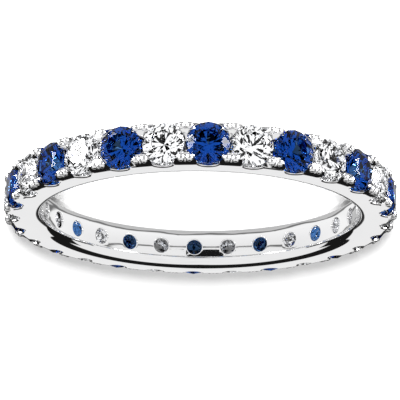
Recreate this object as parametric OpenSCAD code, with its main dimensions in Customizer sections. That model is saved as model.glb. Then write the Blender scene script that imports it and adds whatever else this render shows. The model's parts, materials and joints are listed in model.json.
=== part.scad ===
// Full eternity ring lying on its side: round brilliant stones, blue and clear in turn, held by
// small round prongs on a scalloped band. Millimetres, ring axis along +Z, origin under the centre.

/* [Band] */
// Inner diameter of the ring
finger_d = 17.3; // [16.8:0.1:18]
// Width of the band, along the ring's axis
band_w = 2.28; // [2.24:0.02:2.5]
// Rounding of the two bore edges, for comfort on the finger
bore_edge_r = 0.6; // [0.2:0.05:0.7]
// Height of the side walls between two stones, from the bore outwards
wall_h = 2.05; // [2:0.01:2.08]
// Width of the sloping shoulder along the outer edge of each side wall, measured outwards
shoulder_w = 0.28; // [0.2:0.02:0.32]
// Drop of the shoulder below the flat side of the band
shoulder_drop = 0.15; // [0.1:0.01:0.2]

/* [Scallops] */
// Radius of the U-shaped scallop in the side walls beside each stone
scallop_r = 0.64; // [0.58:0.02:0.72]
// Depth of each scallop below the top of the side walls
scallop_depth = 0.8; // [0.74:0.02:0.84]

/* [Stones] */
// Number of stones of each colour
pairs = 14; // [14:1:14]
// Diameter of the blue stones
blue_d = 2.26; // [2.2:0.01:2.26]
// Diameter of the clear stones
clear_d = 2.2; // [2.14:0.01:2.22]
// Distance from the ring's axis to the middle of the stones' girdles
girdle_at = 10.4; // [10.38:0.01:10.44]
// Thickness of the girdle
girdle_t = 0.07; // [0.05:0.01:0.09]
// Crown height as a share of the stone's diameter
crown_share = 0.14; // [0.12:0.005:0.16]
// Pavilion depth as a share of the stone's diameter
pavilion_share = 0.43; // [0.41:0.005:0.44]
// Table width as a share of the stone's diameter
table_share = 0.58; // [0.53:0.01:0.62]
// Turn of the first blue stone from the front of the ring, in degrees
first_turn = 2.1; // [0:0.1:6]

/* [Setting] */
// Space between a stone and the metal round it
stone_gap = 0.02; // [0.015:0.005:0.03]
// Diameter of the round hole through the band under each stone
azure_d = 0.86; // [0.7:0.02:0.95]
// Radius of the small round prongs
prong_r = 0.21; // [0.19:0.005:0.225]
// Distance of the prongs from the middle of the band, along the axis
prong_out = 0.81; // [0.78:0.01:0.85]
// Distance of each prong from the line between two stones
prong_aside = 0.22; // [0.21:0.005:0.24]
// Length of the round-topped pad below each pair of prongs, from one stone to the next
pad_l = 1.06; // [0.96:0.02:1.08]
// Radius of the pad's round top
pad_r = 0.28; // [0.24:0.01:0.3]
// Distance of the pads from the middle of the band, along the axis
pad_out = 0.78; // [0.76:0.01:0.8]

/* [Hidden] */
$fn = 64;
bore_r = finger_d / 2;
half_w = band_w / 2;
crest_r = bore_r + wall_h;
stone_count = 2 * pairs;
pitch = 360 / stone_count;
// The middle of the band is cut down between the girdles, where the stones almost touch
mid_cut_half_w = 0.35;
mid_cut_depth = 0.65;
// The prongs' centres lie a little below the top of the side walls
prong_sink = 0.12;
prong_at = crest_r - prong_sink;
// The pads' round tops are level with the top of the side walls
pad_at = crest_r - pad_r;
// How far a cutter reaches past the metal that it cuts
past = 0.5;
// Share of the way from the table's edge to the girdle that a star facet covers
star_share = 0.5;
// Share of the way from the girdle to the culet that a lower girdle facet covers
lower_share = 0.77;
facet_step = 22.5;

function two_digits(i) = i < 10 ? str("0", i) : str(i);
function stone_name(colour, i) = str(colour, "_stone_", two_digits(i));

function is_blue(k) = k % 2 == 0;
function stone_r(k) = (is_blue(k) ? blue_d : clear_d) / 2;
function turn(k) = -90 - first_turn - k * pitch;

// Puts its children at place k along the row, with +Z pointing away from the ring's axis
module at_place(k, radius) {
    translate([0, 0, half_w])
        rotate([0, 0, turn(k)])
            translate([radius, 0, 0])
                rotate([0, 90, 0])
                    children();
}

function arc(centre, radius, from, to, steps) = [
    for (i = [0:steps]) let (a = from + (to - from) * i / steps)
        [centre[0] + radius * cos(a), centre[1] + radius * sin(a)]
];

// The plain hoop: a flat-sided band with a rounded bore edge and a sloping shoulder on both sides.
// Its ends close halfway between two stones, where the metal is whole.
module hoop() {
    edge_steps = 6;
    edge_x = bore_r + bore_edge_r;
    edge_y = half_w - bore_edge_r;
    translate([0, 0, half_w])
        rotate([0, 0, turn(0.5)])
            rotate_extrude()
                polygon(concat(
                    arc([edge_x, -edge_y], bore_edge_r, 180, 270, edge_steps),
                    [[crest_r - shoulder_w, -half_w], [crest_r, shoulder_drop - half_w]],
                    [[crest_r, half_w - shoulder_drop], [crest_r - shoulder_w, half_w]],
                    arc([edge_x, edge_y], bore_edge_r, 90, 180, edge_steps)
                ));
}

// The shallow channel between the two rows of prongs, where the girdles almost touch
module mid_cut() {
    translate([0, 0, half_w])
        rotate_extrude()
            translate([crest_r - mid_cut_depth, -mid_cut_half_w])
                square([mid_cut_depth + past, 2 * mid_cut_half_w]);
}

// One U-shaped scallop through both side walls: a round bottom between straight sides
module scallop(k) {
    through = band_w + 2 * past;
    translate([0, 0, -past])
        rotate([0, 0, turn(k)])
            translate([crest_r - scallop_depth + scallop_r, 0, 0])
                union() {
                    cylinder(r = scallop_r, h = through);
                    translate([0, -scallop_r, 0]) cube([past, 2 * scallop_r, through]);
                }
}

// The round opening that lets a stone in from outside, down to the underside of its girdle
module stone_opening(k) {
    at_place(k, girdle_at)
        translate([0, 0, -girdle_t / 2])
            cylinder(r = stone_r(k) + 2 * stone_gap, h = past);
}

// The seat that follows the stone's own outline, and the azure hole below it
module seat(k) {
    r = stone_r(k) + stone_gap;
    pavilion_slope = pavilion_share * 2;
    crown_slope = crown_share * 2 / (1 - table_share);
    azure_r = azure_d / 2;
    underside = -girdle_t / 2 - stone_gap;
    topside = girdle_t / 2 + stone_gap;
    table_r = stone_r(k) * table_share;
    table_z = topside + (r - table_r) * crown_slope;
    at_place(k, girdle_at)
        rotate_extrude()
            polygon([
                [0, -wall_h - past],
                [azure_r, -wall_h - past],
                [azure_r, underside - (r - azure_r) * pavilion_slope],
                [r, underside],
                [r, topside],
                [table_r, table_z],
                [0, table_z]
            ]);
}

// The two pads between stone k and the next one, whose ends reach over the edges of both stones
module pads(k) {
    for (side = [-1, 1])
        at_place(k + 0.5, pad_at)
            translate([side * pad_out, 0, 0])
                rotate([90, 0, 0])
                    cylinder(r = pad_r, h = pad_l, center = true);
}

// The four prongs between stone k and the next one, two on each side of the band
module prongs(k) {
    for (side = [-1, 1], aside = [-1, 1])
        at_place(k + 0.5, prong_at)
            translate([side * prong_out, aside * prong_aside, 0])
                sphere(r = prong_r);
}

module band() {
    color("gainsboro")
        difference() {
            union() {
                difference() {
                    hoop();
                    mid_cut();
                    for (k = [0:stone_count - 1]) scallop(k);
                    for (k = [0:stone_count - 1]) stone_opening(k);
                }
                for (k = [0:stone_count - 1]) pads(k);
                for (k = [0:stone_count - 1]) prongs(k);
            }
            for (k = [0:stone_count - 1]) seat(k);
        }
}

function ring_points(radius, z, first, step, count) = [
    for (i = [0:count - 1]) [radius * cos(first + i * step), radius * sin(first + i * step), z]
];

// A round brilliant with its girdle's middle at the origin and its table towards +Z. The points go
// down from the table: table corners, star tips, girdle top, girdle bottom, lower tips and culet.
module brilliant(r) {
    crown_h = crown_share * 2 * r;
    pavilion_h = pavilion_share * 2 * r;
    top = girdle_t / 2;
    corner_r = table_share * r;
    table_edge_r = corner_r * cos(facet_step);
    star_r = table_edge_r + star_share * (r - table_edge_r);
    star_z = top + crown_h * (r - star_r * cos(facet_step)) / (r - corner_r);
    tip_r = (1 - lower_share) * r;
    tip_z = -top - pavilion_h * (1 - tip_r * cos(facet_step) / r);
    points = concat(
        ring_points(corner_r, top + crown_h, 0, 45, 8),
        ring_points(star_r, star_z, facet_step, 45, 8),
        ring_points(r, top, 0, facet_step, 16),
        ring_points(r, -top, 0, facet_step, 16),
        ring_points(tip_r, tip_z, facet_step, 45, 8),
        [[0, 0, -top - pavilion_h]]
    );
    star = 8;
    upper = 16;
    lower = 32;
    tip = 48;
    culet = 56;
    faces = concat(
        [[for (i = [7:-1:0]) i]],
        [for (i = [0:7]) [i, (i + 1) % 8, star + i]],
        [for (i = [0:7]) [i, star + i, upper + 2 * i, star + (i + 7) % 8]],
        [for (i = [0:7]) [star + i, upper + 2 * i + 1, upper + 2 * i]],
        [for (i = [0:7]) [star + i, upper + (2 * i + 2) % 16, upper + 2 * i + 1]],
        [for (j = [0:15]) [upper + j, upper + (j + 1) % 16, lower + (j + 1) % 16, lower + j]],
        [for (i = [0:7]) [tip + i, lower + 2 * i, lower + 2 * i + 1]],
        [for (i = [0:7]) [tip + i, lower + 2 * i + 1, lower + (2 * i + 2) % 16]],
        [for (i = [0:7]) [culet, tip + (i + 7) % 8, lower + 2 * i, tip + i]]
    );
    polyhedron(points, faces);
}

module stone(k) {
    color(is_blue(k) ? "midnightblue" : "aliceblue")
        at_place(k, girdle_at)
            brilliant(stone_r(k));
}

band();
for (i = [1:pairs]) {
    stone(2 * i - 2);
    stone(2 * i - 1);
}
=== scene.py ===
# %% [markdown]
# # An eternity ring in blue and clear stones
#
# A full eternity ring carries one unbroken row of stones round the finger. This lesson starts from
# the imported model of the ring, which fixes every size and place, and gives it the looks of the real
# one: mirror-polished white metal, small round beads that hold the stones, and cut stones that
# bend the light. The ring lies on its side.

import json
import math

import bmesh
import bpy
from mathutils import Matrix, Vector


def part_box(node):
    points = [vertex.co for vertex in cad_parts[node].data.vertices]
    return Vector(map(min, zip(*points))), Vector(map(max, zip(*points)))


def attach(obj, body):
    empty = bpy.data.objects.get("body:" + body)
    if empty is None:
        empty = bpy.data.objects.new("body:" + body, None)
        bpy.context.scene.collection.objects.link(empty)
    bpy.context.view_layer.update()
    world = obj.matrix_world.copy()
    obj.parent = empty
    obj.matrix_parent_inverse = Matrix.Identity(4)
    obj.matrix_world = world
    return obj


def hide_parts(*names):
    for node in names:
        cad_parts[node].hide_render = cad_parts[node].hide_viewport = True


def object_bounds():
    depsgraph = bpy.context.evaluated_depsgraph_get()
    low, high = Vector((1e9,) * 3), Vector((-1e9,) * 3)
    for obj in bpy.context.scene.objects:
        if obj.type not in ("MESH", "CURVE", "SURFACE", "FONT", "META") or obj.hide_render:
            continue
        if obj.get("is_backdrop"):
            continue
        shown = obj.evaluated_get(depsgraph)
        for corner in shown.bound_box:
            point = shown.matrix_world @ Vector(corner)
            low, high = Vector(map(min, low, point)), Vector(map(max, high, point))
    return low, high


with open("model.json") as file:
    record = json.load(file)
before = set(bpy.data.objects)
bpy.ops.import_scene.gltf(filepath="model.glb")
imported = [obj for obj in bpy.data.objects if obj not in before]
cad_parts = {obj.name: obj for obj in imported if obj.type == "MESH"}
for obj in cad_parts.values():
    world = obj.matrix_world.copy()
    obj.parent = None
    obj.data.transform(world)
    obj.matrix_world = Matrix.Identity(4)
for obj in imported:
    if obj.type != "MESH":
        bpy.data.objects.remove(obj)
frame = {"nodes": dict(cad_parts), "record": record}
cad_box = [list(corner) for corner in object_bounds()]
print("pieces in the packed ring:", len(frame["nodes"]))

# %% [markdown]
# ## Sizes
#
# A jeweller thinks in millimetres, so the metal is built in millimetres, with the middle of the
# ring at the origin, and is scaled and lifted to its place as the last step. The width of the band
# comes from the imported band's own box, and the size of the finger hole from the record's mount.
# The other sizes repeat the ones that the band was designed with.

# %% Sizes of the ring, in millimetres
MM = 0.001
band_low, band_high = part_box("band")
half_w = (band_high.z - band_low.z) / MM / 2
bore_r = frame["record"]["mounts"][0]["dims"]["r_mm"]
bore_edge_r = 0.6
crest_r = 10.7
girdle_at = 10.4
girdle_t = 0.07
blue_r = 2.26 / 2
clear_r = 2.2 / 2
crown_share = 0.14
pavilion_share = 0.43
table_share = 0.58
stone_gap = 0.02
pairs = 14
pitch = math.pi / pairs
first_turn = math.radians(2.1)
print("half width", round(half_w, 3), "bore radius", bore_r, "step", round(math.degrees(pitch), 3))

# %% [markdown]
# ## The camera
#
# The ring was pictured from a long way off with a long lens, about 17 degrees above its flat side.
# The picture shows the near stones at the top and the inside of the far wall at the bottom, so the
# camera stands above the floor and is rolled by half a turn.

# %% Camera
PICTURE_PX = 400
SENSOR_MM = 36.0
ring_unit = 9.05 * MM
camera_far = 16.0 * ring_unit
camera_lift = math.radians(17.37)
camera_roll = math.radians(-0.56)
focal_px = 2630.9
aim_x = 0.0019 * ring_unit
aim_y = -0.0175 * ring_unit
towards_camera = Vector((0, -math.cos(camera_lift), math.sin(camera_lift)))


def add_object(name, data):
    """An object for the mesh, camera or lamp, in the scene."""
    thing = bpy.data.objects.new(name, data)
    bpy.context.scene.collection.objects.link(thing)
    return thing


def photo_camera():
    """A camera at the photograph's angle, upside down, so that the near stones come out on top."""
    level_right = Vector((-1, 0, 0))
    level_up = towards_camera.cross(level_right)
    right = level_right * math.cos(camera_roll) - level_up * math.sin(camera_roll)
    up = level_right * math.sin(camera_roll) + level_up * math.cos(camera_roll)
    centre = Vector((0, 0, half_w * MM))
    place = centre + towards_camera * camera_far - right * aim_x - up * aim_y
    data = bpy.data.cameras.new("photo_camera")
    data.sensor_width = SENSOR_MM
    data.lens = focal_px * SENSOR_MM / PICTURE_PX
    data.clip_start = 0.01
    data.clip_end = 20
    camera = add_object("photo_camera", data)
    turn = Matrix((right, up, towards_camera)).transposed().to_4x4()
    camera.matrix_world = Matrix.Translation(place) @ turn
    return camera


camera = photo_camera()
bpy.context.scene.camera = camera
print("lens", round(camera.data.lens, 1), "mm, from", round(camera_far * 1000), "mm away")

# %% [markdown]
# ## Turned and lofted shapes
#
# Nearly every shape on a ring can be turned on a lathe: the hoop itself, the drill that makes a
# hole, the burr that opens a seat. So one helper turns an outline into a closed solid. A scallop
# isn't round, and a second helper lofts such a shape through rings of points. Both end by turning
# their faces outwards, because a spin can leave a shape inside out.

# %% Turn an outline on a lathe
def closed_mesh(name, bm):
    """The mesh of a closed solid, with its faces turned outwards."""
    bmesh.ops.recalc_face_normals(bm, faces=bm.faces)
    mesh = bpy.data.meshes.new(name)
    bm.to_mesh(mesh)
    bm.free()
    return mesh


def turned(name, outline, steps, first=0.0, last=2 * math.pi):
    """A closed solid: the outline of (radius, height) points, turned about Z from first to last."""
    whole = math.isclose(last - first, 2 * math.pi)
    bm = bmesh.new()
    rings = []
    for i in range(steps if whole else steps + 1):
        angle = first + (last - first) * i / steps
        ring = []
        for radius, height in outline:
            if whole and radius == 0 and rings:
                ring.append(rings[0][len(ring)])
            else:
                ring.append(bm.verts.new((radius * math.cos(angle), radius * math.sin(angle), height)))
        rings.append(ring)
    count = len(outline)
    for i in range(steps):
        here = rings[i]
        there = rings[(i + 1) % len(rings)]
        for j in range(count):
            k = (j + 1) % count
            corners = [here[j], there[j], there[k], here[k]]
            corners = [v for n, v in enumerate(corners) if v not in corners[:n]]
            if len(corners) > 2:
                bm.faces.new(corners)
    if not whole:
        bm.faces.new(rings[0])
        bm.faces.new(rings[-1])
    return closed_mesh(name, bm)


# %% Loft a shape, and draw an arc
def lofted(name, rings):
    """A closed solid through rings of points, with a flat cap at each end."""
    bm = bmesh.new()
    layers = [[bm.verts.new(point) for point in ring] for ring in rings]
    for here, there in zip(layers, layers[1:]):
        for i in range(len(here)):
            j = (i + 1) % len(here)
            bm.faces.new((here[i], here[j], there[j], there[i]))
    bm.faces.new(layers[0])
    bm.faces.new(layers[-1])
    return closed_mesh(name, bm)


def arc(centre_x, centre_y, radius, start, end, steps):
    """Points along an arc, with its angles in degrees."""
    points = []
    for i in range(steps + 1):
        angle = math.radians(start + (end - start) * i / steps)
        points.append((centre_x + radius * math.cos(angle), centre_y + radius * math.sin(angle)))
    return points


# %% [markdown]
# ## Cutting and joining
#
# A Boolean modifier cuts one closed solid with another, or joins them. The manifold solver is the
# quickest one for clean closed solids, and all of these are.

# %% Combine two solids
def keep_result(thing):
    """Makes the shape that the object's modifiers show its own plain mesh."""
    depsgraph = bpy.context.evaluated_depsgraph_get()
    mesh = bpy.data.meshes.new_from_object(thing.evaluated_get(depsgraph))
    thing.modifiers.clear()
    old = thing.data
    thing.data = mesh
    bpy.data.meshes.remove(old)


def combine(body, tool_mesh, operation):
    """Cuts the tool's shape out of the body, joins it on, or keeps what both share."""
    tool = add_object("tool", tool_mesh)
    modifier = body.modifiers.new("combine", "BOOLEAN")
    modifier.operation = operation
    modifier.solver = "MANIFOLD"
    modifier.object = tool
    keep_result(body)
    bpy.data.objects.remove(tool)


def cut(body, tool_mesh):
    """Cuts the tool's shape out of the body."""
    combine(body, tool_mesh, "DIFFERENCE")


# %% [markdown]
# ## The outline of the hoop
#
# The ring repeats with each pair of stones, and each stone's place is the same on its left and
# right, front and back. So only a quarter of a stone's place is built, with great care, and the rest
# is mirrored and repeated. The quarter runs from the middle of a stone to halfway to the next one,
# and from the middle of the band to its front side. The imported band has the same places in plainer
# shapes. Here their edges are rounded as a polished edge is, so the two differ by a fraction of a
# millimetre at the shoulders, the scallops and the prongs.

# %% Half of the band's cross-section
EDGE_STEPS = 9
SHOULDER_STEPS = 4
shoulder_from = 10.18
shoulder_r = 0.3
shoulder_slope = 62
shoulder_length = 0.36
crest_break = 0.3
# How far the outline runs on past the middle of the band, for a clean cut there
spare_w = 0.1
# The channel between the two rows of prongs: (depth below the crest, distance from the middle)
channel = [(0.05, 0.6), (0.35, 0.35), (0.7, 0.3), (0.7, -spare_w)]


def hoop_outline():
    """From the middle of the bore, over the side and the shoulder, to the channel's floor."""
    points = [(bore_r, -spare_w)]
    points += arc(bore_r + bore_edge_r, half_w - bore_edge_r, bore_edge_r, 180, 90, EDGE_STEPS)
    points += arc(shoulder_from, half_w - shoulder_r, shoulder_r, 90, shoulder_slope, SHOULDER_STEPS)
    across, up = points[-1]
    slope = math.radians(shoulder_slope)
    across += shoulder_length * math.sin(slope)
    up -= shoulder_length * math.cos(slope)
    rim = crest_r - across
    points += [(across, up), (crest_r - crest_break * rim, up - crest_break * rim), (crest_r, up - rim)]
    points += [(crest_r - depth, aside) for depth, aside in channel]
    return points


print("outline:", len(hoop_outline()), "points")

# %% [markdown]
# ## The tools
#
# A setter uses one tool for each cut, and so does this lesson: a burr in the stone's own outline for
# the seat, above a drill for the azure hole, a wider cutter that opens the seat outwards, a small
# round cutter that softens the edge of the azure hole, and a U-shaped cutter for the scallop in the
# side wall.

# %% Round tools
TOOL_STEPS = 64
LIP_STEPS = 5
azure_r = 0.43
azure_lip = 0.06
drill_deep = 2.2
# How far a tool reaches past the metal that it cuts
past = 1.0
stone_axis = Matrix.Rotation(math.radians(90), 4, "Y")


def at_stone(name, outline):
    """A round tool whose own axis runs outwards through the stone's middle."""
    mesh = turned(name, outline, TOOL_STEPS)
    mesh.transform(Matrix.Translation((girdle_at, 0, 0)) @ stone_axis)
    return mesh


def seat_tool(stone_r):
    """The stone's own outline with a gap round it, above a drill of the azure hole's size."""
    r = stone_r + stone_gap
    underside = -girdle_t / 2 - stone_gap
    topside = girdle_t / 2 + stone_gap
    crown_slope = crown_share * 2 / (1 - table_share)
    table_r = stone_r * table_share
    table_h = topside + (r - table_r) * crown_slope
    return at_stone("seat", [
        (0, -drill_deep),
        (azure_r, -drill_deep),
        (azure_r, underside - (r - azure_r) * pavilion_share * 2),
        (r, underside),
        (r, topside),
        (table_r, table_h),
        (0, table_h),
    ])


def opening_tool(stone_r):
    """The way in from outside, down to the underside of the girdle."""
    r = stone_r + 2 * stone_gap
    return at_stone("opening", [(0, -girdle_t / 2), (r, -girdle_t / 2), (r, past), (0, past)])


def azure_lip_tool():
    """Rounds the edge of the azure hole on the inside of the band."""
    depth = girdle_at - bore_r
    r = azure_r + azure_lip
    outline = [(0, -depth - past), (r, -depth - past)]
    outline += arc(r, azure_lip - depth, azure_lip, 270, 180, LIP_STEPS)
    outline += [(0, azure_lip - depth)]
    return at_stone("azure_lip", outline)


print("seat of a blue stone:", len(seat_tool(blue_r).polygons), "faces")

# %% The scallop's cutter
U_STEPS = 24
scallop_r = 0.6
scallop_bottom = 9.94
lip_tight = 0.05
lip_wide = 0.2
lip_turn = 57


def u_ring(radius, height):
    """A U shape lying at the given height, open outwards."""
    centre = scallop_bottom + scallop_r
    ring = [(x, y, height) for x, y in arc(centre, 0, radius, 90, 270, U_STEPS)]
    return ring + [(centre + past, -radius, height), (centre + past, radius, height)]


def lip_profile():
    """The rounded edge of a scallop: tight where it leaves the U, and wide where it meets the side."""
    tight = [(-x, y) for x, y in arc(0, 0, lip_tight, 0, lip_turn, 3)]
    wide = [(-x, y) for x, y in arc(0, 0, lip_wide, lip_turn, 90, 4)]
    start_r = scallop_r - tight[0][0]
    tight = [(start_r + x, y) for x, y in tight]
    shift_r = tight[-1][0] - wide[0][0]
    shift_h = tight[-1][1] - wide[0][1]
    wide = [(shift_r + x, shift_h + y) for x, y in wide[1:]]
    top = wide[-1][1]
    return [(r, half_w - top + h) for r, h in tight + wide]


def scallop_tool():
    """The U-shaped cutter for one scallop, wider where it leaves the metal, which rounds the edge."""
    rings = [u_ring(scallop_r, -past)]
    rings += [u_ring(radius, height) for radius, height in lip_profile()]
    rings.append(u_ring(lip_profile()[-1][0], half_w + past))
    return lofted("scallop", rings)


print("scallop's cutter:", round(lip_profile()[-1][0], 2), "mm in radius at the side")

# %% [markdown]
# ## One quarter of the hoop
#
# The quarter starts as a wedge turned a little too far on each side. The tools cut it, and a prism
# then trims it to the exact quarter, so that the cuts on the joins are perfectly flat.

# %% Cut the quarters
SLICES = 8
prism_far = 20.0
prism_high = 5.0


def quarter_prism():
    """The wedge that a quarter of a stone's place fills."""
    corners = [(0, 0), (prism_far, 0), (prism_far * math.cos(pitch / 2), prism_far * math.sin(pitch / 2))]
    return lofted("prism", [[(x, y, z) for x, y in corners] for z in (0, prism_high)])


def quarter_of_hoop(stone_r):
    """A quarter of one stone's place in the hoop, cut from a lathe-turned wedge."""
    spare = pitch / SLICES
    wedge = turned("quarter", hoop_outline(), SLICES // 2 + 2, -spare, pitch / 2 + spare)
    body = add_object("quarter", wedge)
    cut(body, scallop_tool())
    cut(body, opening_tool(stone_r))
    cut(body, seat_tool(stone_r))
    cut(body, azure_lip_tool())
    combine(body, quarter_prism(), "INTERSECT")
    return body


blue_quarter = quarter_of_hoop(blue_r)
clear_quarter = quarter_of_hoop(clear_r)
print("quarters:", len(blue_quarter.data.polygons), len(clear_quarter.data.polygons), "faces")

# %% [markdown]
# ## From a quarter to a pair of places
#
# A caster would cut one sharp model and copy it. Here a quarter loses the flat caps where it meets
# its neighbours, three mirror images complete the place, and the place of a blue stone is joined to
# that of the clear stone after it. The seams are welded, so that the light runs over them unbroken.

# %% Mirror the quarters into a pair of places
# Points closer together than this are welded, in millimetres
WELD = 2e-4
FLAT_WITHIN = 1e-4


def open_quarter(mesh):
    """A copy of the quarter's mesh without the flat caps where the next quarters join on."""
    bm = bmesh.new()
    bm.from_mesh(mesh)
    joins = [
        Vector((0, 1, 0)),
        Vector((0, 0, 1)),
        Vector((-math.sin(pitch / 2), math.cos(pitch / 2), 0)),
    ]
    caps = []
    for face in bm.faces:
        points = [v.co for v in face.verts]
        if any(all(abs(p.dot(join)) < FLAT_WITHIN for p in points) for join in joins):
            caps.append(face)
    bmesh.ops.delete(bm, geom=caps, context="FACES")
    opened = bpy.data.meshes.new("opened")
    bm.to_mesh(opened)
    bm.free()
    return opened


def add_place(pair, quarter, turn):
    """Adds a stone's place: the quarter and its three mirror images, turned about the ring's axis."""
    opened = open_quarter(quarter.data)
    for flip_y in (1, -1):
        for flip_z in (1, -1):
            image = opened.copy()
            image.transform(Matrix.Diagonal((1, flip_y, flip_z, 1)))
            if flip_y * flip_z < 0:
                image.flip_normals()
            image.transform(Matrix.Rotation(turn, 4, "Z"))
            pair.from_mesh(image)
            bpy.data.meshes.remove(image)
    bpy.data.meshes.remove(opened)
    bpy.data.objects.remove(quarter)


def pair_mesh(name, blue_part, clear_part):
    """The places of one blue stone and of the clear stone after it, as one mesh."""
    pair = bmesh.new()
    add_place(pair, blue_part, 0)
    add_place(pair, clear_part, -pitch)
    bmesh.ops.remove_doubles(pair, verts=pair.verts, dist=WELD)
    mesh = bpy.data.meshes.new(name)
    pair.to_mesh(mesh)
    pair.free()
    return mesh


hoop_pair = pair_mesh("hoop_pair", blue_quarter, clear_quarter)
print("a pair of places:", len(hoop_pair.polygons), "faces")

# %% [markdown]
# ## Repeating a pair round the ring
#
# Fourteen pairs make the ring. Geometry Nodes place a copy of the pair at each step, turn the
# copies into real mesh, and weld the seams between them. With its named inputs, the same tree
# serves the hoop and the prongs.

# %% A tree that repeats a mesh round the ring
tree_inputs = [
    ("Section", "NodeSocketGeometry"),
    ("Copies", "NodeSocketInt"),
    ("First turn", "NodeSocketFloat"),
    ("Weld distance", "NodeSocketFloat"),
    ("Material", "NodeSocketMaterial"),
]


def round_the_ring_tree():
    """Copies the incoming mesh round Z, from the first turn on, and welds the copies together."""
    tree = bpy.data.node_groups.new("Round the ring", "GeometryNodeTree")
    sockets = {}
    for title, kind in tree_inputs:
        socket = tree.interface.new_socket(title, in_out="INPUT", socket_type=kind)
        sockets[title] = socket.identifier
    tree.interface.new_socket("Ring", in_out="OUTPUT", socket_type="NodeSocketGeometry")
    nodes = tree.nodes
    links = tree.links
    given = nodes.new("NodeGroupInput")
    points = nodes.new("GeometryNodePoints")
    index = nodes.new("GeometryNodeInputIndex")
    share = nodes.new("ShaderNodeMath")
    share.operation = "DIVIDE"
    angle = nodes.new("ShaderNodeMath")
    angle.operation = "MULTIPLY_ADD"
    angle.inputs[1].default_value = -2 * math.pi
    euler = nodes.new("ShaderNodeCombineXYZ")
    place = nodes.new("GeometryNodeInstanceOnPoints")
    real = nodes.new("GeometryNodeRealizeInstances")
    merge = nodes.new("GeometryNodeMergeByDistance")
    colour = nodes.new("GeometryNodeSetMaterial")
    out = nodes.new("NodeGroupOutput")
    links.new(given.outputs["Copies"], points.inputs["Count"])
    links.new(index.outputs["Index"], share.inputs[0])
    links.new(given.outputs["Copies"], share.inputs[1])
    links.new(share.outputs[0], angle.inputs[0])
    links.new(given.outputs["First turn"], angle.inputs[2])
    links.new(angle.outputs[0], euler.inputs["Z"])
    links.new(points.outputs[0], place.inputs["Points"])
    links.new(given.outputs["Section"], place.inputs["Instance"])
    links.new(euler.outputs[0], place.inputs["Rotation"])
    links.new(place.outputs[0], real.inputs[0])
    links.new(real.outputs[0], merge.inputs["Geometry"])
    links.new(given.outputs["Weld distance"], merge.inputs["Distance"])
    links.new(merge.outputs[0], colour.inputs["Geometry"])
    links.new(given.outputs["Material"], colour.inputs["Material"])
    links.new(colour.outputs[0], out.inputs[0])
    return tree, sockets


ring_tree, ring_sockets = round_the_ring_tree()
print("tree:", len(ring_tree.nodes), "nodes")

# %% [markdown]
# ## From the tree to a finished piece
#
# A modifier's result can be taken as a plain mesh, which is what an exported model needs. The mesh
# is then brought from millimetres to metres and lifted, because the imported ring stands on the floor.
# Smooth shading on a polished edge goes wrong where a large flat face meets narrow ones, as it bends
# the reflections on the flat. Weighted normals let the large faces lead.

# %% Repeat, and shade smoothly
# How strongly the larger faces lead the shading, out of 100
FACE_LEAD = 80


def repeated(name, section, material):
    """A plain mesh object: the section repeated round the ring, in metres, at its place."""
    thing = add_object(name, section)
    modifier = thing.modifiers.new("ring", "NODES")
    modifier.node_group = ring_tree
    modifier[ring_sockets["Copies"]] = pairs
    modifier[ring_sockets["First turn"]] = -math.pi / 2 - first_turn
    modifier[ring_sockets["Weld distance"]] = WELD
    modifier[ring_sockets["Material"]] = material
    keep_result(thing)
    mesh = thing.data
    mesh.name = name
    mesh.transform(Matrix.Translation((0, 0, half_w * MM)) @ Matrix.Scale(MM, 4))
    if not mesh.materials:
        mesh.materials.append(material)
    return thing


def smooth_where_round(thing, sharp_from):
    """Smooth shading, apart from edges sharper than the given angle, led by the larger faces."""
    thing.data.shade_smooth()
    thing.data.set_sharp_from_angle(angle=math.radians(sharp_from))
    modifier = thing.modifiers.new("normals", "WEIGHTED_NORMAL")
    modifier.keep_sharp = True
    modifier.weight = FACE_LEAD
    keep_result(thing)


def count_triangles(mesh):
    """The number of triangles that the mesh's faces come to."""
    return sum(len(p.vertices) - 2 for p in mesh.polygons)


# %% [markdown]
# ## Materials fixed to the ring
#
# The patterns in the materials read Object coordinates, so they stay on the piece when the camera or
# the ring moves. On a ring that is 20 mm across a pattern needs hundreds of lumps in each metre to be
# seen at all.

# %% Helpers for the materials
# Most of a noise texture lies between these two values
NOISE_LOW = 0.3
NOISE_HIGH = 0.7


def put(node, values):
    """Sets the node's own sockets to the given values."""
    for title, value in values.items():
        node.inputs[title].default_value = value


def new_material(name, values):
    """A node material with the given values on its shader, and its nodes, links and shader."""
    material = bpy.data.materials.new(name)
    material.use_nodes = True
    tree = material.node_tree
    shader = tree.nodes["Principled BSDF"]
    put(shader, values)
    return material, tree.nodes, tree.links, shader


def noise_on(nodes, links, scale, detail=2.0, vector=None):
    """Noise fixed to the object, with the given number of lumps in a metre."""
    if vector is None:
        vector = nodes.new("ShaderNodeTexCoord").outputs["Object"]
    noise = nodes.new("ShaderNodeTexNoise")
    put(noise, {"Scale": scale, "Detail": detail})
    links.new(vector, noise.inputs["Vector"])
    return noise.outputs["Fac"]


def ranged(nodes, links, value, low, high):
    """Turns the usual span of noise into low to high."""
    node = nodes.new("ShaderNodeMapRange")
    put(node, {"From Min": NOISE_LOW, "From Max": NOISE_HIGH, "To Min": low, "To Max": high})
    links.new(value, node.inputs["Value"])
    return node.outputs["Result"]


def tinted(nodes, links, value, first, second):
    """A colour between the two given ones, led by the value."""
    node = nodes.new("ShaderNodeMix")
    node.data_type = "RGBA"
    links.new(value, node.inputs["Factor"])
    put(node, {"A": (*first, 1), "B": (*second, 1)})
    return node.outputs["Result"]


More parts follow.
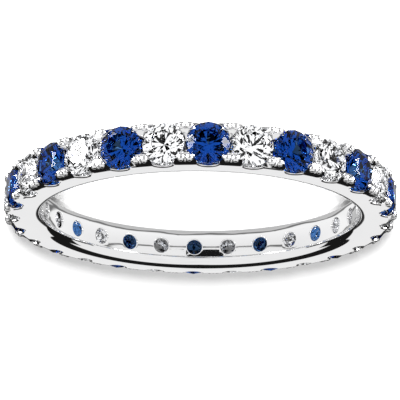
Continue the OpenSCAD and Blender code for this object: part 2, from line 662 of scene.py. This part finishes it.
# %% [markdown]
# ## Polished white metal
#
# The band is white metal, most likely silver under a thin bright plate, polished to a mirror. A
# perfect mirror looks false. The real one has a slight waviness from the polishing wheel, which
# bends the lines that it reflects, fine hairlines round the ring from the last polish, and a haze
# that comes and goes. The waviness and the hairlines are bumps, and the haze is a change of
# roughness and of colour.
#
# The corners round the beads look dark, because the metal round them shades them. So the beads
# have a version of the metal with painted shade, which darkens its colour in narrow corners.

# %% Sizes of the marks in the polish
# Lumps are counted in a metre, heights are in metres and the reach of the beads' painted shade is in
# millimetres
cool_silver = (0.885, 0.885, 0.895)
pale_silver = (0.925, 0.925, 0.925)
haze_lumps = 700.0
haze_detail = 4.0
clearest = 0.02
haziest = 0.055
hairline_lumps = 16000.0
hairline_high = 1.5e-7
wave_lumps = 240.0
wave_high = 0.8e-5
# How far the painted shade in the corners round the beads reaches
bead_shade_reach = 0.18
print("waves in the polish:", round(1000 / wave_lumps, 1), "mm long")


# %% White metal
def painted_shade_in_corners(nodes, links, colour, shade_reach):
    """Painted shade: the colour, darker where a corner is narrower than the reach."""
    # Painted shade: ambient occlusion darkens the colour in narrow corners
    open_sky = nodes.new("ShaderNodeAmbientOcclusion")
    put(open_sky, {"Distance": shade_reach * MM})
    open_sky.samples = 8
    links.new(colour, open_sky.inputs["Color"])
    deeper = nodes.new("ShaderNodeMix")
    deeper.data_type = "RGBA"
    deeper.blend_type = "MULTIPLY"
    put(deeper, {"Factor": 1.0})
    links.new(open_sky.outputs["Color"], deeper.inputs["A"])
    links.new(open_sky.outputs["AO"], deeper.inputs["B"])
    return deeper.outputs["Result"]


def along_the_ring(nodes, links):
    """The distance from the ring's axis and the height, so that a pattern on it runs round the ring."""
    place = nodes.new("ShaderNodeTexCoord")
    split = nodes.new("ShaderNodeSeparateXYZ")
    flat = nodes.new("ShaderNodeCombineXYZ")
    reach = nodes.new("ShaderNodeVectorMath")
    reach.operation = "LENGTH"
    joined = nodes.new("ShaderNodeCombineXYZ")
    links.new(place.outputs["Object"], split.inputs[0])
    links.new(split.outputs["X"], flat.inputs["X"])
    links.new(split.outputs["Y"], flat.inputs["Y"])
    links.new(flat.outputs[0], reach.inputs[0])
    links.new(reach.outputs["Value"], joined.inputs["X"])
    links.new(split.outputs["Z"], joined.inputs["Z"])
    return joined.outputs[0]


def polished_white_metal(name, shade_reach=0.0):
    """Mirror-polished metal. Where a shade reach is asked for, corners narrower than it get painted
    shade.
    """
    material, nodes, links, shader = new_material(name, {"Metallic": 1.0})
    haze = noise_on(nodes, links, haze_lumps, haze_detail)
    colour = tinted(nodes, links, haze, cool_silver, pale_silver)
    # Painted shade in the corners, for the beads' metal
    if shade_reach:
        colour = painted_shade_in_corners(nodes, links, colour, shade_reach)
    links.new(colour, shader.inputs["Base Color"])
    links.new(ranged(nodes, links, haze, clearest, haziest), shader.inputs["Roughness"])
    hairline_noise = noise_on(nodes, links, hairline_lumps, 1.0, along_the_ring(nodes, links))
    hairlines = nodes.new("ShaderNodeBump")
    put(hairlines, {"Distance": hairline_high})
    links.new(hairline_noise, hairlines.inputs["Height"])
    waviness = nodes.new("ShaderNodeBump")
    put(waviness, {"Distance": wave_high})
    links.new(noise_on(nodes, links, wave_lumps, 0.0), waviness.inputs["Height"])
    links.new(hairlines.outputs[0], waviness.inputs["Normal"])
    links.new(waviness.outputs[0], shader.inputs["Normal"])
    return material


white_metal = polished_white_metal("white_metal")
# The beads' metal has painted shade in its corners
bead_metal = polished_white_metal("bead_metal", bead_shade_reach)
print("white metal:", len(white_metal.node_tree.nodes), "nodes")

# %% [markdown]
# ## Cut stones
#
# Cubic zirconia bends light almost as strongly as diamond. The facets are real faces in the packed
# model, so the clear stones only need a high index of refraction. A faint cloud of tint keeps them
# from looking like empty glass.
#
# The blue stones could be painted blue, but then every facet would have the same blue. Here the
# colour is inside the stone, as absorption: the longer the path of the light, the deeper the blue. A
# dark tint on the mirror-like reflection keeps the white studio from veiling it. The clear stones
# have the same tint, a little paler, because the softboxes would turn them plain white.

# %% Blue and clear stones
stone_lumps = 900.0
clear_index = 2.15
clear_cloud = (0.95, 0.97, 1.0)
clear_mirror = 0.15
blue_index = 1.9
blue_cloud = (0.8, 0.88, 1.0)
blue_mirror = 0.08
blue_inside = (0.01, 0.42, 0.76)
blue_density = 1750


def cut_stone(name, index, cloud, mirror):
    """A clear cut stone with a faint cloud of tint and a dimmed mirror on its surface."""
    material, nodes, links, shader = new_material(name, {
        "Transmission Weight": 1.0,
        "IOR": index,
        "Roughness": 0.0,
        "Specular Tint": (mirror, mirror, mirror, 1),
    })
    tint = tinted(nodes, links, noise_on(nodes, links, stone_lumps), (1.0, 1.0, 1.0), cloud)
    links.new(tint, shader.inputs["Base Color"])
    return material


clear_stone = cut_stone("clear_stone", clear_index, clear_cloud, clear_mirror)
blue_stone = cut_stone("blue_stone", blue_index, blue_cloud, blue_mirror)
nodes = blue_stone.node_tree.nodes
blue_depth = nodes.new("ShaderNodeVolumeAbsorption")
put(blue_depth, {"Color": (*blue_inside, 1), "Density": blue_density})
blue_stone.node_tree.links.new(blue_depth.outputs[0], nodes["Material Output"].inputs["Volume"])
print("blue stones: light fades within", round(1000 / blue_density, 2), "mm")

# %% [markdown]
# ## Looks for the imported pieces
#
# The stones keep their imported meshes, and only the material in their slots changes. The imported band
# gets the white metal too, though a finer one takes its place below.

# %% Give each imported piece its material
finishes = {"band": white_metal, "blue": blue_stone, "clear": clear_stone}
for name, node in frame["nodes"].items():
    for slot in node.material_slots:
        slot.material = finishes[name.split("_")[0]]
print("stones:", 2 * pairs)

# %% [markdown]
# ## The hoop
#
# Once the places repeat round the ring, the hoop is one closed, welded solid.

# %% The hoop, all the way round
hoop = repeated("band_hoop", hoop_pair, white_metal)
smooth_where_round(hoop, sharp_from=30)
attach(hoop, "root")
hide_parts("band")
print("hoop:", count_triangles(hoop.data), "triangles")

# %% [markdown]
# ## The prongs
#
# Between two stones the metal rises into a broad pad on each side of the band. Its ends lean over
# the edges of both stones and hold them, which is why a jeweller speaks of shared prongs. Two small
# beads stand on each pad, with their tips polished flat, and a bump fills the space between them.
# The pad is two egg shapes, a high one and a lower foot on the side of the channel.

# %% Sizes of the prongs, in millimetres
# Places are (distance from the ring's axis, aside from the line between two stones, along the axis)
pad_at = (10.4, 0.0, 0.74)
pad_size = (0.3, 0.56, 0.22)
foot_at = (10.3, 0.0, 0.66)
foot_size = (0.28, 0.54, 0.26)
bump_at = (10.52, 0.0, 0.9)
bump_size = (0.17, 0.09, 0.17)
bead_at = (10.57, 0.22, 0.85)
bead_r = 0.21
tip_flat_r = 0.06
tip_lean = 17
print("beads", round(2 * bead_r, 2), "mm across")

# %% [markdown]
# ## A quarter of the prongs
#
# The eggs are joined first. Then the tools that cut the hoop, the scallop and the seat, also cut the
# prongs, so that the metal follows the stones' edges with the same thin gap everywhere.

# %% Cut and join the prongs
EGG_ROUND = 24
EGG_RINGS = 16


def egg(centre, size):
    """A closed egg shape with its poles along the ring's axis."""
    bm = bmesh.new()
    bmesh.ops.create_uvsphere(bm, u_segments=EGG_ROUND, v_segments=EGG_RINGS, radius=1)
    mesh = closed_mesh("egg", bm)
    mesh.transform(Matrix.Translation(centre) @ Matrix.Diagonal((*size, 1)))
    return mesh


def bead():
    """One round bead with a small flat on its tip, which leans a little to the side of the band."""
    ball = add_object("bead", egg((0, 0, 0), (bead_r, bead_r, bead_r)))
    flat_at = math.sqrt(bead_r ** 2 - tip_flat_r ** 2)
    outline = [(0, flat_at), (bead_r, flat_at), (bead_r, 2 * bead_r), (0, 2 * bead_r)]
    polisher = turned("polisher", outline, EGG_ROUND)
    polisher.transform(Matrix.Rotation(math.radians(90 - tip_lean), 4, "Y"))
    cut(ball, polisher)
    out, aside, along = bead_at
    mesh = ball.data
    mesh.transform(Matrix.Translation((out, -aside, along)))
    bpy.data.objects.remove(ball)
    return mesh


def quarter_of_prongs(stone_r):
    """The half of a pad that holds this stone, on one side of the band."""
    body = add_object("pad", egg(pad_at, pad_size))
    combine(body, egg(foot_at, foot_size), "UNION")
    combine(body, bead(), "UNION")
    combine(body, egg(bump_at, bump_size), "UNION")
    body.data.transform(Matrix.Rotation(pitch / 2, 4, "Z"))
    cut(body, scallop_tool())
    cut(body, seat_tool(stone_r))
    combine(body, quarter_prism(), "INTERSECT")
    return body


prong_pair = pair_mesh("prong_pair", quarter_of_prongs(blue_r), quarter_of_prongs(clear_r))
prongs = repeated("band_prongs", prong_pair, bead_metal)
smooth_where_round(prongs, sharp_from=40)
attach(prongs, "root")
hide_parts("band")
print("prongs:", count_triangles(prongs.data), "triangles")

# %% [markdown]
# ## The floor
#
# The floor is a plain white sheet of paper. Polished metal is only as good as what it reflects, so
# the reflections come from cards round the ring and not from the floor: it is hidden from reflected
# and refracted rays.

# %% White floor
FLOOR_HALF = 3.0
paper_glow = 0.1
paper_lumps = 900.0
paper_dark = (0.87, 0.87, 0.87)
paper_pale = (0.89, 0.89, 0.89)


def flat_sheet(name, corners, height, material):
    """A flat staged sheet at the given height, its corners in metres."""
    mesh = bpy.data.meshes.new(name)
    mesh.from_pydata([(x, y, height) for x, y in corners], [], [range(len(corners))])
    mesh.materials.append(material)
    sheet = add_object(name, mesh)
    sheet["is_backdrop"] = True
    return sheet


def white_paper():
    """White paper with a faint tooth, which glows a little so that it stays white."""
    material, nodes, links, shader = new_material("floor_paper", {
        "Roughness": 0.9,
        "Specular IOR Level": 0.0,
        "Emission Color": (1, 1, 1, 1),
        "Emission Strength": paper_glow,
    })
    white = tinted(nodes, links, noise_on(nodes, links, paper_lumps), paper_dark, paper_pale)
    links.new(white, shader.inputs["Base Color"])
    return material


floor_corners = [(x * FLOOR_HALF, y * FLOOR_HALF) for x, y in ((-1, -1), (1, -1), (1, 1), (-1, 1))]
floor = flat_sheet("floor", floor_corners, 0, white_paper())
floor.visible_glossy = False
floor.visible_transmission = False
print("floor:", 2 * FLOOR_HALF, "m wide")

# %% [markdown]
# ## Cards for the inside of the band
#
# The inside of the band mirrors whatever lies in the finger hole, so a jewellery photographer lays
# a small card there. Here it is a half disc under the far wall, shaded in rings: each ring shows as
# one line along the wall. The camera and the floor don't see such cards: only light that the metal
# and the stones reflect or bend does.

# %% Helpers for the cards
MIRROR_ONLY = ("visible_camera", "visible_diffuse", "visible_shadow")
grain_lumps = 300.0
grain_share = 0.05


def glowing(name):
    """A black material that glows white, with its nodes, links and shader."""
    return new_material(name, {
        "Base Color": (0, 0, 0, 1),
        "Specular IOR Level": 0.0,
        "Emission Color": (1, 1, 1, 1),
        "Emission Strength": 1.0,
    })


def plain_glow(name, level):
    """A card that shows one brightness, with a faint grain, whatever light falls on it."""
    material, nodes, links, shader = glowing(name)
    low = level * (1 - grain_share)
    high = level * (1 + grain_share)
    glow = ranged(nodes, links, noise_on(nodes, links, grain_lumps), low, high)
    links.new(glow, shader.inputs["Emission Strength"])
    return material


def mirror_only(card):
    """Hides a card from the camera and the floor, and leaves it to the metal and the stones."""
    for kind in MIRROR_ONLY:
        setattr(card, kind, False)


# %% Half disc below the far wall
# (distance from the ring's axis in millimetres, brightness)
card_rings = [
    (0.0, 0.92), (4.6, 0.9), (4.85, 0.15), (5.0, 0.15), (5.2, 0.88), (6.9, 0.95),
    (8.0, 1.0), (8.33, 0.95), (8.45, 0.18), (8.6, 0.18), (8.7, 0.62), (8.9, 0.55), (10.2, 0.5),
]
card_r = card_rings[-1][0]
# The ends of its round side, in degrees
card_ends = (-3, 183)
CARD_STEPS = 48
card_lift = 0.02 * MM
ring_wobble = 0.5
wobble_lumps = 330.0


def ringed_card():
    """A glowing card whose brightness goes by the distance from the middle, a little wavy."""
    material, nodes, links, shader = glowing("ringed_card")
    place = nodes.new("ShaderNodeTexCoord")
    reach = nodes.new("ShaderNodeVectorMath")
    reach.operation = "LENGTH"
    links.new(place.outputs["Object"], reach.inputs[0])
    share = nodes.new("ShaderNodeMath")
    share.operation = "DIVIDE"
    links.new(reach.outputs["Value"], share.inputs[0])
    share.inputs[1].default_value = card_r * MM
    most = ring_wobble / card_r / 2
    wobble = ranged(nodes, links, noise_on(nodes, links, wobble_lumps), -most, most)
    wavy = nodes.new("ShaderNodeMath")
    links.new(share.outputs[0], wavy.inputs[0])
    links.new(wobble, wavy.inputs[1])
    rings = nodes.new("ShaderNodeValToRGB")
    links.new(wavy.outputs[0], rings.inputs["Fac"])
    stops = rings.color_ramp.elements
    for distance, level in card_rings[1:-1]:
        stops.new(distance / card_r).color = (level, level, level, 1)
    for stop, (distance, level) in ((stops[0], card_rings[0]), (stops[-1], card_rings[-1])):
        stop.color = (level, level, level, 1)
    links.new(rings.outputs["Color"], shader.inputs["Emission Color"])
    return material


card = flat_sheet("card", arc(0, 0, card_r * MM, *card_ends, CARD_STEPS), card_lift, ringed_card())
mirror_only(card)
print("rings on the card:", len(card_rings))

# %% [markdown]
# ## A black tongue of card
#
# The photograph has one dark patch between the middle azure holes. A black tongue on the half disc
# makes it. It is narrow where it lies nearest to the far wall, and the curved wall widens it again.

# %% Black tongue on the half disc
# Corners are (to the right, to the back) from the ring's axis, in millimetres
tongue_corners = [(-1.67, -6), (3.19, -6), (0.09, 4.05), (-0.05, 4.05)]
tongue_level = 0.01
tongue_card = plain_glow("tongue_card", tongue_level)
tongue = flat_sheet("tongue", [(x * MM, y * MM) for x, y in tongue_corners], 2 * card_lift, tongue_card)
mirror_only(tongue)
print("tongue:", len(tongue_corners), "corners")

# %% [markdown]
# ## A bent card over the near wall
#
# A third card, bent like a short piece of pipe, stands over the near wall and lights the rounded
# edge of the far one. It is one-sided, so that the near wall doesn't mirror its back.

# %% Bent card over the near wall
reflector_r = 8.0
reflector_low = 4.2
reflector_high = 34.0
# The ends of the bend, in degrees
bend_ends = (195, 345)
BEND_STEPS = 40
reflector_level = 0.9


def one_sided(material):
    """Makes the back of a card's material see-through."""
    nodes = material.node_tree.nodes
    links = material.node_tree.links
    side = nodes.new("ShaderNodeNewGeometry")
    see_through = nodes.new("ShaderNodeBsdfTransparent")
    either = nodes.new("ShaderNodeMixShader")
    links.new(side.outputs["Backfacing"], either.inputs[0])
    links.new(nodes["Principled BSDF"].outputs[0], either.inputs[1])
    links.new(see_through.outputs[0], either.inputs[2])
    links.new(either.outputs[0], nodes["Material Output"].inputs["Surface"])
    return material


foot = arc(0, 0, reflector_r, *bend_ends, BEND_STEPS)
columns = len(foot)
vertices = [(x * MM, y * MM, z * MM) for z in (reflector_low, reflector_high) for x, y in foot]
faces = [(i, columns + i, columns + i + 1, i + 1) for i in range(columns - 1)]
reflector_mesh = bpy.data.meshes.new("reflector")
reflector_mesh.from_pydata(vertices, [], faces)
reflector_mesh.materials.append(one_sided(plain_glow("reflector_card", reflector_level)))
reflector = add_object("reflector", reflector_mesh)
mirror_only(reflector)
reflector.visible_transmission = False
reflector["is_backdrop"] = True
print("bent card:", columns - 1, "faces")

# %% [markdown]
# ## The studio
#
# White metal and clear stones have no colour of their own to show. What one sees in them is a white
# tent with black cards in it: the cards draw the dark lines along the edges and the dark facets in
# the stones. Lamps and cards could be real objects, but the world's own shader can paint them by
# direction, which renders faster and never casts a stray shadow. A small class adds the nodes, so
# that the cells after it read as plain steps.

# %% A class that adds the world's nodes
DEG = 180 / math.pi


class Studio:
    """Builds the world's shader out of small steps."""

    def __init__(self):
        world = bpy.data.worlds.new("studio")
        bpy.context.scene.world = world
        world.use_nodes = True
        world.cycles.sampling_method = "NONE"
        self.nodes = world.node_tree.nodes
        self.links = world.node_tree.links

    def feed(self, socket, value):
        """Links the socket to another one, or sets it to a plain number."""
        if hasattr(value, "is_linked"):
            self.links.new(value, socket)
        else:
            socket.default_value = value

    def math(self, operation, first, second=0.0, third=0.0):
        """One sum, on sockets or plain numbers."""
        node = self.nodes.new("ShaderNodeMath")
        node.operation = operation
        for socket, value in zip(node.inputs, (first, second, third)):
            self.feed(socket, value)
        return node.outputs[0]

    def step(self, value, start, end):
        """Goes smoothly from 0 at start to 1 at end."""
        node = self.nodes.new("ShaderNodeMapRange")
        node.interpolation_type = "SMOOTHSTEP"
        self.feed(node.inputs["Value"], value)
        put(node, {"From Min": start, "From Max": end})
        return node.outputs["Result"]

    def inside(self, value, low, high, soft):
        """1 between low and high, 0 outside, with soft edges."""
        rise = self.step(value, low - soft / 2, low + soft / 2)
        fall = self.step(value, high + soft / 2, high - soft / 2)
        return self.math("MULTIPLY", rise, fall)

    def blend(self, share, start, end):
        """The start level where the share is 0 and the end level where it is 1."""
        node = self.nodes.new("ShaderNodeMix")
        self.feed(node.inputs[0], share)
        self.feed(node.inputs[2], start)
        self.feed(node.inputs[3], end)
        return node.outputs[0]


# %% Directions, in degrees
studio = Studio()
where = studio.nodes.new("ShaderNodeTexCoord").outputs["Generated"]
split = studio.nodes.new("ShaderNodeSeparateXYZ")
studio.links.new(where, split.inputs[0])
east, north, rise = split.outputs
south = studio.math("MULTIPLY", north, -1.0)
azimuth = studio.math("MULTIPLY", studio.math("ARCTAN2", east, south), DEG)
elevation = studio.math("MULTIPLY", studio.math("ARCSINE", rise), DEG)
aside = studio.math("ABSOLUTE", azimuth)
print("directions:", len(studio.nodes), "nodes")

# %% [markdown]
# ## Tent and overhead card
#
# The tent is white all round. A black card hangs level above the ring. From the ring it looks like a
# diamond: it is narrow to the left and right, and its middle lies further back there. It draws the
# black line along the far edge of the finger hole and the black shoulder between the stones.

# %% Tent and overhead card
tent_level = 0.9
card_black = 0.01
# The card's sizes are multiples of its height above the ring, and its lower limit is in degrees
card_middle = 0.9
card_bend = 0.2
card_half = 1.0
card_taper = -0.55
card_soft = (-0.02, 0.03)
card_from = (18, 20)

across = studio.math("ABSOLUTE", studio.math("DIVIDE", east, rise))
along = studio.math("DIVIDE", north, rise)
middle = studio.math("MULTIPLY_ADD", across, card_bend, card_middle)
half = studio.math("MULTIPLY_ADD", across, card_taper, card_half)
off_middle = studio.math("ABSOLUTE", studio.math("SUBTRACT", along, middle))
on_card = studio.step(studio.math("SUBTRACT", half, off_middle), *card_soft)
well_above = studio.step(elevation, *card_from)
level = studio.blend(studio.math("MULTIPLY", on_card, well_above), tent_level, card_black)
print("tent level", tent_level)

# %% [markdown]
# ## Cards to the sides and below
#
# Each card is a patch of azimuth, counted both ways from the camera's side, and elevation above the
# floor. The low cards behind darken the lower edge of the far wall, the side card widens the black
# line at the left and right of the finger hole, and the two softboxes, which stay below the level of
# the ring, give the blue stones their pale side facets. A card in front keeps them off the tables.

# %% Side cards and softboxes
studio_cards = [
    # (name, azimuth from, to, elevation from, to, soft edge, level), angles in degrees
    ("sheet below", 0, 181, -91, -50, 8, 0.6),
    ("low card behind", 85, 181, -17, 10, 3, 0.03),
    ("lower card behind", 85, 181, -52, -17, 3, 0.45),
    ("side card behind", 108, 146, -5, 33, 2, 0.01),
    ("softbox", 52, 82, -50, -2, 3, 30.0),
    ("card in front of the tables", 0, 59, -27, -9, 2, 0.02),
]
for name, az_low, az_high, el_low, el_high, soft, brightness in studio_cards:
    in_azimuth = studio.inside(aside, az_low, az_high, soft)
    on_card = studio.math("MULTIPLY", in_azimuth, studio.inside(elevation, el_low, el_high, soft))
    level = studio.blend(on_card, level, brightness)
print("cards:", len(studio_cards))

# %% [markdown]
# ## The camera's own card
#
# A photographer's dark camera shows as a grey spot in every polished bump that faces it.

# %% Grey card at the camera's place
# Radii are in degrees, as seen from the ring
card_edge = 2
camera_card_radius = 16
camera_card_level = 0.3
facing = studio.nodes.new("ShaderNodeVectorMath")
facing.operation = "DOT_PRODUCT"
studio.links.new(where, facing.inputs[0])
facing.inputs[1].default_value = towards_camera
off_camera = studio.math("MULTIPLY", studio.math("ARCCOSINE", facing.outputs["Value"]), DEG)
camera_card = studio.step(off_camera, camera_card_radius + card_edge, camera_card_radius - card_edge)
level = studio.blend(camera_card, level, camera_card_level)
print("camera card:", 2 * camera_card_radius, "degrees across")

# %% [markdown]
# ## What the stones see
#
# The clear stones would take in the darkness of the cards and look grey, so light that comes through
# a stone meets a second tent, of white panels with narrow black gaps. The gaps come out as the fine
# dark strokes in the clear stones. The stones look grey and deep blue through the holes in the far
# wall, so behind the ring the panels are dimmer, but only for light that meets at most one mirror on
# its way through a stone: light that its facets throw back, off two of them, keeps the full level.
# The paper sees an even and softer tent, so that its white doesn't depend on the cards.

# %% Panels and even light
panels_round = 18
panels_up = 22
gap_round = 0.27
gap_up = 0.22
gap_edge = 0.025
panel_level = 1.2
panel_level_behind = 0.15
behind_edge = 0.1
inner_card_radius = 14
inner_card_level = 0.02
even_level = 0.55


def panels(angle, count, gap):
    """1 on the panels and 0 in the narrow gaps between them."""
    wave = studio.math("ABSOLUTE", studio.math("SINE", studio.math("MULTIPLY", angle, count / 2 / DEG)))
    return studio.step(wave, gap - gap_edge, gap + gap_edge)


columns_of_panels = panels(azimuth, panels_round, gap_round)
rows_of_panels = panels(elevation, panels_up, gap_up)
on_panel = studio.math("MULTIPLY", columns_of_panels, rows_of_panels)
path = studio.nodes.new("ShaderNodeLightPath")
few_mirrors = studio.step(path.outputs["Glossy Depth"], 2, 1)
behind_ring = studio.math("MULTIPLY", studio.step(north, -behind_edge, behind_edge), few_mirrors)
level_through = studio.blend(behind_ring, panel_level, panel_level_behind)
through_stones = studio.math("MULTIPLY", on_panel, level_through)
inner_card = studio.step(off_camera, inner_card_radius + card_edge, inner_card_radius - card_edge)
through_stones = studio.blend(inner_card, through_stones, inner_card_level)
level = studio.blend(path.outputs["Is Transmission Ray"], level, through_stones)
level = studio.blend(path.outputs["Is Diffuse Ray"], level, even_level)
studio.links.new(level, studio.nodes["Background"].inputs["Color"])
print("studio:", len(studio.nodes), "nodes")

# %% [markdown]
# ## Two lamps for the floor
#
# The photograph has one soft shadow, on the floor behind the far side. A low lamp in front casts it.
# The near side would cast one too, into the finger hole, where the photograph is white. A narrow
# spot straight above the hole washes it out. The metal mirrors neither lamp.

# %% Low lamp in front
lamp_far = 0.15
lamp_lift = math.radians(12.5)
lamp_wide = 0.02
lamp_power = 1.6


def without_mirror_image(data):
    """An object for the lamp, which neither the metal nor the stones show."""
    lamp = add_object(data.name, data)
    lamp.visible_glossy = False
    lamp.visible_transmission = False
    return lamp


lamp_data = bpy.data.lights.new("shadow_lamp", "AREA")
lamp_data.shape = "DISK"
lamp_data.size = lamp_wide
lamp_data.energy = lamp_power
lamp = without_mirror_image(lamp_data)
lamp.location = (0, -lamp_far * math.cos(lamp_lift), lamp_far * math.sin(lamp_lift))
lamp.rotation_euler = (math.radians(90) - lamp_lift, 0, 0)
print("lamp", round(lamp_far * 1000), "mm in front")

# %% Narrow spot over the finger hole
spot_high = 0.2
spot_r = 8.55 * MM
spot_edge = 0.03
spot_wide = 0.001
spot_power = 1.2
spot_data = bpy.data.lights.new("hole_spot", "SPOT")
spot_data.spot_size = 2 * math.atan(spot_r / spot_high)
spot_data.spot_blend = spot_edge
spot_data.shadow_soft_size = spot_wide
spot_data.energy = spot_power
spot = without_mirror_image(spot_data)
spot.location = (0, 0, spot_high)
print("spot", round(spot_r / MM, 2), "mm in radius on the floor")

# %% [markdown]
# ## How light is followed
#
# A cut stone needs many bounces before the light finds its way out. Light that the ring throws onto
# the floor is left out, because it would break up the plain shadow.

# %% Bounces and colour
bpy.context.scene.view_settings.view_transform = "Standard"
cycles = bpy.context.scene.cycles
cycles.transmission_bounces = 16
cycles.max_bounces = 24
cycles.glossy_bounces = 8
cycles.caustics_reflective = False
cycles.caustics_refractive = False
print("bounces:", cycles.max_bounces)

# %% [markdown]
# ## The box of the finished ring
#
# The finished ring is meant to keep the size of the imported one, so both boxes are printed
# at the end.

# %% Print the sizes of both boxes
shown_box = [list(corner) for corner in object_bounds()]
for name, box in (("packed", cad_box), ("shown", shown_box)):
    print(name, [round((high - low) / MM, 2) for low, high in zip(*box)], "mm")
